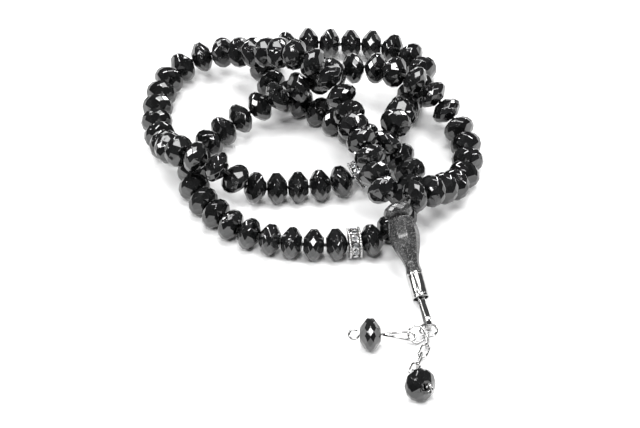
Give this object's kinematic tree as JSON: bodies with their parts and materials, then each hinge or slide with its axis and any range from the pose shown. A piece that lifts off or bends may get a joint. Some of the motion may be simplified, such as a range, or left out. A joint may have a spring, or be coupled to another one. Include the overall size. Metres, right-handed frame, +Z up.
{
  "type": "misbaha prayer beads",
  "caption": "Strand of faceted black crystal prayer beads with stone-set dividers, a speckled leader bead, a silver end tube, and small bead drops on rings and links",
  "frame": {"origin": "middle of the object's bounding box, on the surface it lies on", "axes": "+Z up from the surface, -Y from the strand towards its drops, +X to the right of a viewer who has the drops nearest"},
  "size_m": [0.0849, 0.128, 0.0233],
  "materials": {
    "black_crystal": "polished black cut glass",
    "speckled_crystal": "dark grey with fine silver speckle, glossy",
    "silver": "polished silver plate",
    "clear_stones": "clear cut stones with foiled backs",
    "thread": "black twisted thread"
  },
  "bodies": {
    "strand": {"thread": "thread", "thread_knot": "thread", "leader_bead": "speckled_crystal", "end_tube": "silver", "bail": "silver", "run_1_beads_12_to_22": "black_crystal", "run_1_beads_23_to_33": "black_crystal", "run_2_beads_12_to_22": "black_crystal", "run_2_beads_23_to_33": "black_crystal", "run_3_beads_12_to_22": "black_crystal", "run_3_beads_23_to_33": "black_crystal"},
    "collar": {"collar_bead": "black_crystal"},
    "divider_1": {"divider_1": "silver", "divider_1_stones": "clear_stones"},
    "divider_2": {"divider_2": "silver", "divider_2_stones": "clear_stones"},
    "ring_1": {"ring_1": "silver"},
    "ring_2": {"ring_2": "silver"},
    "side_drop_wire": {"side_drop_wire": "silver"},
    "side_drop_bead": {"side_drop_bead": "black_crystal"},
    "lower_drop_pin": {"lower_drop_pin": "silver"},
    "lower_drop_bead": {"lower_drop_bead": "black_crystal"},
    "link_1": {"link_1": "silver"},
    "link_2": {"link_2": "silver"},
    "link_3": {"link_3": "silver"},
    "link_4": {"link_4": "silver"},
    "link_5": {"link_5": "silver"},
    "run_1_bead_01": {"run_1_bead_01": "black_crystal"},
    "run_1_bead_02": {"run_1_bead_02": "black_crystal"},
    "run_1_bead_03": {"run_1_bead_03": "black_crystal"},
    "run_1_bead_04": {"run_1_bead_04": "black_crystal"},
    "run_1_bead_05": {"run_1_bead_05": "black_crystal"},
    "run_1_bead_06": {"run_1_bead_06": "black_crystal"},
    "run_1_bead_07": {"run_1_bead_07": "black_crystal"},
    "run_1_bead_08": {"run_1_bead_08": "black_crystal"},
    "run_1_bead_09": {"run_1_bead_09": "black_crystal"},
    "run_1_bead_10": {"run_1_bead_10": "black_crystal"},
    "run_1_bead_11": {"run_1_bead_11": "black_crystal"},
    "run_2_bead_01": {"run_2_bead_01": "black_crystal"},
    "run_2_bead_02": {"run_2_bead_02": "black_crystal"},
    "run_2_bead_03": {"run_2_bead_03": "black_crystal"},
    "run_2_bead_04": {"run_2_bead_04": "black_crystal"},
    "run_2_bead_05": {"run_2_bead_05": "black_crystal"},
    "run_2_bead_06": {"run_2_bead_06": "black_crystal"},
    "run_2_bead_07": {"run_2_bead_07": "black_crystal"},
    "run_2_bead_08": {"run_2_bead_08": "black_crystal"},
    "run_2_bead_09": {"run_2_bead_09": "black_crystal"},
    "run_2_bead_10": {"run_2_bead_10": "black_crystal"},
    "run_2_bead_11": {"run_2_bead_11": "black_crystal"},
    "run_3_bead_01": {"run_3_bead_01": "black_crystal"},
    "run_3_bead_02": {"run_3_bead_02": "black_crystal"},
    "run_3_bead_03": {"run_3_bead_03": "black_crystal"},
    "run_3_bead_04": {"run_3_bead_04": "black_crystal"},
    "run_3_bead_05": {"run_3_bead_05": "black_crystal"},
    "run_3_bead_06": {"run_3_bead_06": "black_crystal"},
    "run_3_bead_07": {"run_3_bead_07": "black_crystal"},
    "run_3_bead_08": {"run_3_bead_08": "black_crystal"},
    "run_3_bead_09": {"run_3_bead_09": "black_crystal"},
    "run_3_bead_10": {"run_3_bead_10": "black_crystal"},
    "run_3_bead_11": {"run_3_bead_11": "black_crystal"}
  },
  "joints": [
    {"name": "side_drop_swing", "type": "hinge", "parent": "ring_2", "child": "side_drop_wire", "pos_m": [0.02275, -0.043, 0.0018], "axis": [0, 0, 1], "range_deg": [-8, 8]},
    {"name": "lower_drop_swing", "type": "hinge", "parent": "link_5", "child": "lower_drop_pin", "pos_m": [0.023, -0.05709, 0.00207], "axis": [0, 0, 1], "range_deg": [-15, 15]},
    {"name": "ring_1_swing", "type": "hinge", "parent": "strand", "child": "ring_1", "pos_m": [0.02752, -0.03984, 0.00175], "axis": [0, 0, 1], "range_deg": [-6, 6]},
    {"name": "ring_2_swing", "type": "hinge", "parent": "ring_1", "child": "ring_2", "pos_m": [0.026, -0.04156, 0.00178], "axis": [0, 0, 1], "range_deg": [-6, 6]},
    {"name": "link_1_swing", "type": "hinge", "parent": "ring_1", "child": "link_1", "pos_m": [0.02719, -0.04282, 0.00175], "axis": [0, 0, 1], "range_deg": [-8, 8]},
    {"name": "link_2_swing", "type": "hinge", "parent": "link_1", "child": "link_2", "pos_m": [0.02663, -0.04551, 0.00135], "axis": [0, 0, 1], "range_deg": [-12, 12]},
    {"name": "link_3_swing", "type": "hinge", "parent": "link_2", "child": "link_3", "pos_m": [0.02565, -0.04841, 0.00122], "axis": [0, 0, 1], "range_deg": [-12, 12]},
    {"name": "link_4_swing", "type": "hinge", "parent": "link_3", "child": "link_4", "pos_m": [0.0245, -0.05123, 0.00122], "axis": [0, 0, 1], "range_deg": [-12, 12]},
    {"name": "link_5_swing", "type": "hinge", "parent": "link_4", "child": "link_5", "pos_m": [0.02353, -0.05408, 0.00143], "axis": [0, 0, 1], "range_deg": [-12, 12]},
    {"name": "side_drop_bead_spin", "type": "hinge", "parent": "side_drop_wire", "child": "side_drop_bead", "pos_m": [0.0138, -0.04428, 0.00382], "axis": [1, 0, 0], "continuous": true},
    {"name": "lower_drop_bead_spin", "type": "hinge", "parent": "lower_drop_pin", "child": "lower_drop_bead", "pos_m": [0.02492, -0.06016, 0.00379], "axis": [0.5393, -0.719, 0.4384], "continuous": true},
    {"name": "collar_spin", "type": "hinge", "parent": "strand", "child": "collar", "pos_m": [0.02075, -0.01078, 0.01102], "axis": [0.2287, -0.8844, -0.4067], "continuous": true},
    {"name": "divider_1_spin", "type": "hinge", "parent": "strand", "child": "divider_1", "pos_m": [0.01194, 0.00939, 0.00468], "axis": [0.8601, 0.3011, 0.4118], "continuous": true},
    {"name": "divider_2_spin", "type": "hinge", "parent": "strand", "child": "divider_2", "pos_m": [0.01034, -0.01387, 0.00382], "axis": [-0.9891, -0.1473, 0], "continuous": true},
    {"name": "run_1_bead_01_spin", "type": "hinge", "parent": "strand", "child": "run_1_bead_01", "pos_m": [0.0172, -0.00462, 0.01238], "axis": [-0.4744, 0.8786, 0.0548], "continuous": true},
    {"name": "run_1_bead_02_spin", "type": "hinge", "parent": "strand", "child": "run_1_bead_02", "pos_m": [0.01544, 0.00051, 0.01291], "axis": [-0.1694, 0.9763, 0.1349], "continuous": true},
    {"name": "run_1_bead_03_spin", "type": "hinge", "parent": "strand", "child": "run_1_bead_03", "pos_m": [0.01424, 0.0056, 0.01383], "axis": [-0.2814, 0.9359, 0.212], "continuous": true},
    {"name": "run_1_bead_04_spin", "type": "hinge", "parent": "strand", "child": "run_1_bead_04", "pos_m": [0.01218, 0.01064, 0.01457], "axis": [-0.4617, 0.8853, 0.0564], "continuous": true},
    {"name": "run_1_bead_05_spin", "type": "hinge", "parent": "strand", "child": "run_1_bead_05", "pos_m": [0.01036, 0.016, 0.01419], "axis": [-0.1665, 0.9678, -0.1886], "continuous": true},
    {"name": "run_1_bead_06_spin", "type": "hinge", "parent": "strand", "child": "run_1_bead_06", "pos_m": [0.00935, 0.02129, 0.01376], "axis": [-0.2045, 0.9784, 0.0307], "continuous": true},
    {"name": "run_1_bead_07_spin", "type": "hinge", "parent": "strand", "child": "run_1_bead_07", "pos_m": [0.00746, 0.02647, 0.01494], "axis": [-0.449, 0.8107, 0.3756], "continuous": true},
    {"name": "run_1_bead_08_spin", "type": "hinge", "parent": "strand", "child": "run_1_bead_08", "pos_m": [0.00446, 0.03038, 0.01746], "axis": [-0.6206, 0.5848, 0.5225], "continuous": true},
    {"name": "run_1_bead_09_spin", "type": "hinge", "parent": "strand", "child": "run_1_bead_09", "pos_m": [0.00043, 0.03379, 0.01944], "axis": [-0.7816, 0.6012, 0.1661], "continuous": true},
    {"name": "run_1_bead_10_spin", "type": "hinge", "parent": "strand", "child": "run_1_bead_10", "pos_m": [-0.004, 0.03728, 0.01912], "axis": [-0.7463, 0.6047, -0.278], "continuous": true},
    {"name": "run_1_bead_11_spin", "type": "hinge", "parent": "strand", "child": "run_1_bead_11", "pos_m": [-0.00778, 0.04057, 0.01693], "axis": [-0.626, 0.5866, -0.5137], "continuous": true},
    {"name": "run_2_bead_01_spin", "type": "hinge", "parent": "strand", "child": "run_2_bead_01", "pos_m": [0.01552, 0.01102, 0.00742], "axis": [0.6506, 0.3594, 0.669], "continuous": true},
    {"name": "run_2_bead_02_spin", "type": "hinge", "parent": "strand", "child": "run_2_bead_02", "pos_m": [0.0186, 0.01413, 0.01095], "axis": [0.4207, 0.718, 0.5545], "continuous": true},
    {"name": "run_2_bead_03_spin", "type": "hinge", "parent": "strand", "child": "run_2_bead_03", "pos_m": [0.02075, 0.01941, 0.0124], "axis": [0.2606, 0.9609, -0.0935], "continuous": true},
    {"name": "run_2_bead_04_spin", "type": "hinge", "parent": "strand", "child": "run_2_bead_04", "pos_m": [0.02191, 0.0246, 0.0104], "axis": [0.1341, 0.8, -0.5848], "continuous": true},
    {"name": "run_2_bead_05_spin", "type": "hinge", "parent": "strand", "child": "run_2_bead_05", "pos_m": [0.02253, 0.02862, 0.00706], "axis": [0.0987, 0.726, -0.6805], "continuous": true},
    {"name": "run_2_bead_06_spin", "type": "hinge", "parent": "strand", "child": "run_2_bead_06", "pos_m": [0.02337, 0.03376, 0.00441], "axis": [0.1789, 0.9654, -0.1895], "continuous": true},
    {"name": "run_2_bead_07_spin", "type": "hinge", "parent": "strand", "child": "run_2_bead_07", "pos_m": [0.02521, 0.039, 0.00385], "axis": [0.4717, 0.8817, -0.0097], "continuous": true},
    {"name": "run_2_bead_08_spin", "type": "hinge", "parent": "strand", "child": "run_2_bead_08", "pos_m": [0.0275, 0.04354, 0.00382], "axis": [0.4257, 0.9048, 0], "continuous": true},
    {"name": "run_2_bead_09_spin", "type": "hinge", "parent": "strand", "child": "run_2_bead_09", "pos_m": [0.02806, 0.04941, 0.00382], "axis": [-0.2447, 0.9696, 0], "continuous": true},
    {"name": "run_2_bead_10_spin", "type": "hinge", "parent": "strand", "child": "run_2_bead_10", "pos_m": [0.0253, 0.05436, 0.00382], "axis": [-0.6968, 0.7173, 0], "continuous": true},
    {"name": "run_2_bead_11_spin", "type": "hinge", "parent": "strand", "child": "run_2_bead_11", "pos_m": [0.02076, 0.05758, 0.00382], "axis": [-0.9064, 0.4224, 0], "continuous": true},
    {"name": "run_3_bead_01_spin", "type": "hinge", "parent": "strand", "child": "run_3_bead_01", "pos_m": [0.0061, -0.0144, 0.00382], "axis": [-0.9941, -0.1081, 0], "continuous": true},
    {"name": "run_3_bead_02_spin", "type": "hinge", "parent": "strand", "child": "run_3_bead_02", "pos_m": [0.00074, -0.01455, 0.00382], "axis": [-0.9987, 0.0503, 0], "continuous": true},
    {"name": "run_3_bead_03_spin", "type": "hinge", "parent": "strand", "child": "run_3_bead_03", "pos_m": [-0.00453, -0.01395, 0.00382], "axis": [-0.9845, 0.1756, 0], "continuous": true},
    {"name": "run_3_bead_04_spin", "type": "hinge", "parent": "strand", "child": "run_3_bead_04", "pos_m": [-0.00965, -0.01277, 0.00382], "axis": [-0.9624, 0.2716, 0], "continuous": true},
    {"name": "run_3_bead_05_spin", "type": "hinge", "parent": "strand", "child": "run_3_bead_05", "pos_m": [-0.01469, -0.01074, 0.00382], "axis": [-0.8818, 0.4717, 0], "continuous": true},
    {"name": "run_3_bead_06_spin", "type": "hinge", "parent": "strand", "child": "run_3_bead_06", "pos_m": [-0.01917, -0.00764, 0.00382], "axis": [-0.7518, 0.6594, 0], "continuous": true},
    {"name": "run_3_bead_07_spin", "type": "hinge", "parent": "strand", "child": "run_3_bead_07", "pos_m": [-0.0229, -0.00382, 0.00382], "axis": [-0.6419, 0.7668, 0], "continuous": true},
    {"name": "run_3_bead_08_spin", "type": "hinge", "parent": "strand", "child": "run_3_bead_08", "pos_m": [-0.02604, 0.00044, 0.00382], "axis": [-0.5408, 0.8412, 0], "continuous": true},
    {"name": "run_3_bead_09_spin", "type": "hinge", "parent": "strand", "child": "run_3_bead_09", "pos_m": [-0.02832, 0.00546, 0.00382], "axis": [-0.2776, 0.9607, 0], "continuous": true},
    {"name": "run_3_bead_10_spin", "type": "hinge", "parent": "strand", "child": "run_3_bead_10", "pos_m": [-0.02887, 0.01103, 0.00382], "axis": [0.0853, 0.9964, 0], "continuous": true},
    {"name": "run_3_bead_11_spin", "type": "hinge", "parent": "strand", "child": "run_3_bead_11", "pos_m": [-0.0276, 0.0164, 0.00386], "axis": [0.3671, 0.9301, 0.0116], "continuous": true}
  ]
}
